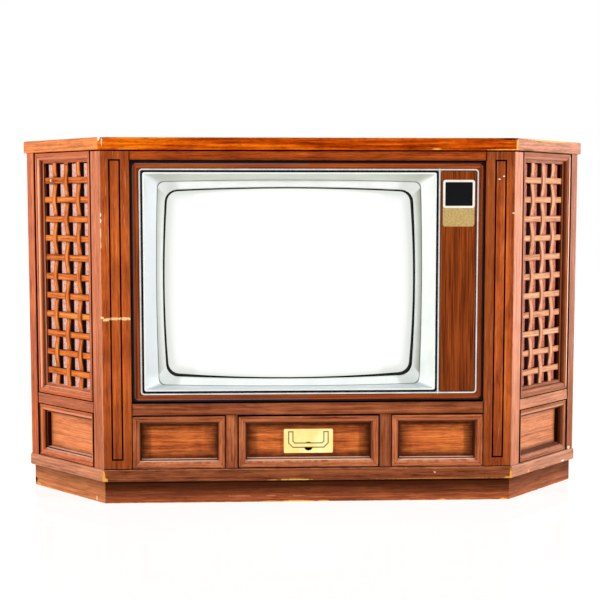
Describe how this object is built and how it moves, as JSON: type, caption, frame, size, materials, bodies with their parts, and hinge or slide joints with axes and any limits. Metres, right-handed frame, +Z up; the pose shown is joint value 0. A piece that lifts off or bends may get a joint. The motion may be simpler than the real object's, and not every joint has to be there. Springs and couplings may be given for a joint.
{
  "type": "console television cabinet",
  "caption": "Wooden console television with canted ends, woven speaker grilles, a large picture tube and a sliding drawer with a flush pull.",
  "frame": {"origin": "on the floor, in the middle of the footprint's bounding box", "axes": "+X to the viewer's right along the front, +Y to the back, +Z up; the screen faces -Y"},
  "size_m": [1.223, 0.497, 0.757],
  "materials": {
    "case_wood": "stained hardwood and veneer, satin lacquer",
    "top_wood": "stained veneer, satin lacquer",
    "edge_wood": "stained solid wood, satin lacquer",
    "panel_wood": "stained veneer with shaded edges",
    "slat_wood": "thin stained strips",
    "raw_wood": "bare softwood and chipboard",
    "speaker_cloth": "woven, flecked",
    "speaker_metal": "black painted steel and paper cone",
    "black_plastic": "moulded, satin",
    "grain_plastic": "moulded, printed with a wood grain",
    "grey_plastic": "moulded, satin metallic paint",
    "silver_trim": "bright foil",
    "foam_black": "foam strip",
    "gold_plate": "brushed, lacquered, bare",
    "window_black": "polished",
    "brass": "polished, lacquered",
    "screen_glass": "picture tube glass, pale grey phosphor behind",
    "tube_glass": "glass with graphite coating",
    "steel": "zinc plated sheet",
    "copper": "enamelled copper wire and ferrite",
    "tape_black": "wire bundle in tape",
    "board": "phenolic circuit board with parts",
    "hardboard": "pressed fibre board",
    "screw": "blackened steel"
  },
  "bodies": {
    "cabinet": {"top_panel": "top_wood", "top_edging": "edge_wood", "left_corner_post": "case_wood", "right_corner_post": "case_wood", "top_rail": "case_wood", "mid_rail": "case_wood", "mullions": "case_wood", "left_lower_frame": "case_wood", "right_lower_frame": "case_wood", "lower_panels": "panel_wood", "left_outer_stile": "case_wood", "right_outer_stile": "case_wood", "left_side_panel": "case_wood", "right_side_panel": "case_wood", "cant_rails": "case_wood", "left_cant_frame": "case_wood", "right_cant_frame": "case_wood", "cant_panels": "panel_wood", "left_grille_frame": "case_wood", "right_grille_frame": "case_wood", "left_grille_slats": "slat_wood", "right_grille_slats": "slat_wood", "left_grille_cloth": "speaker_cloth", "right_grille_cloth": "speaker_cloth", "left_baffle": "raw_wood", "right_baffle": "raw_wood", "left_speaker": "speaker_metal", "right_speaker": "speaker_metal", "bottom_board": "raw_wood", "base_moulding": "case_wood", "plinth": "case_wood", "corner_blocks": "raw_wood", "rear_cleats": "raw_wood", "drawer_runners": "raw_wood", "shroud": "black_plastic", "picture_surround": "grain_plastic", "silver_trim": "silver_trim", "picture_mask": "grey_plastic", "mask_gasket": "foam_black", "control_panel": "grain_plastic", "display_bezel": "silver_trim", "display_window": "window_black", "name_plate": "gold_plate", "tube_faceplate": "screen_glass", "tube_funnel": "tube_glass", "tube_band": "steel", "tube_bolts": "screw", "deflection_yoke": "copper", "neck_board": "board", "degaussing_coil": "tape_black", "chassis_tray": "steel", "circuit_board": "board", "tuner_module": "steel", "back_cover": "hardboard", "back_screws": "screw"},
    "drawer": {"drawer_front_frame": "case_wood", "drawer_front_panel": "panel_wood", "drawer_box": "raw_wood", "pull_plate": "brass"},
    "bail": {"pull_bail": "brass"}
  },
  "joints": [
    {"name": "drawer_slide", "type": "slide", "parent": "cabinet", "child": "drawer", "axis": [0, -1, 0], "range_m": [0, 0.19]},
    {"name": "bail_swing", "type": "hinge", "parent": "drawer", "child": "bail", "pos_m": [0, -0.2249, 0.1446], "axis": [-1, 0, 0], "range_deg": [0, 90]}
  ]
}
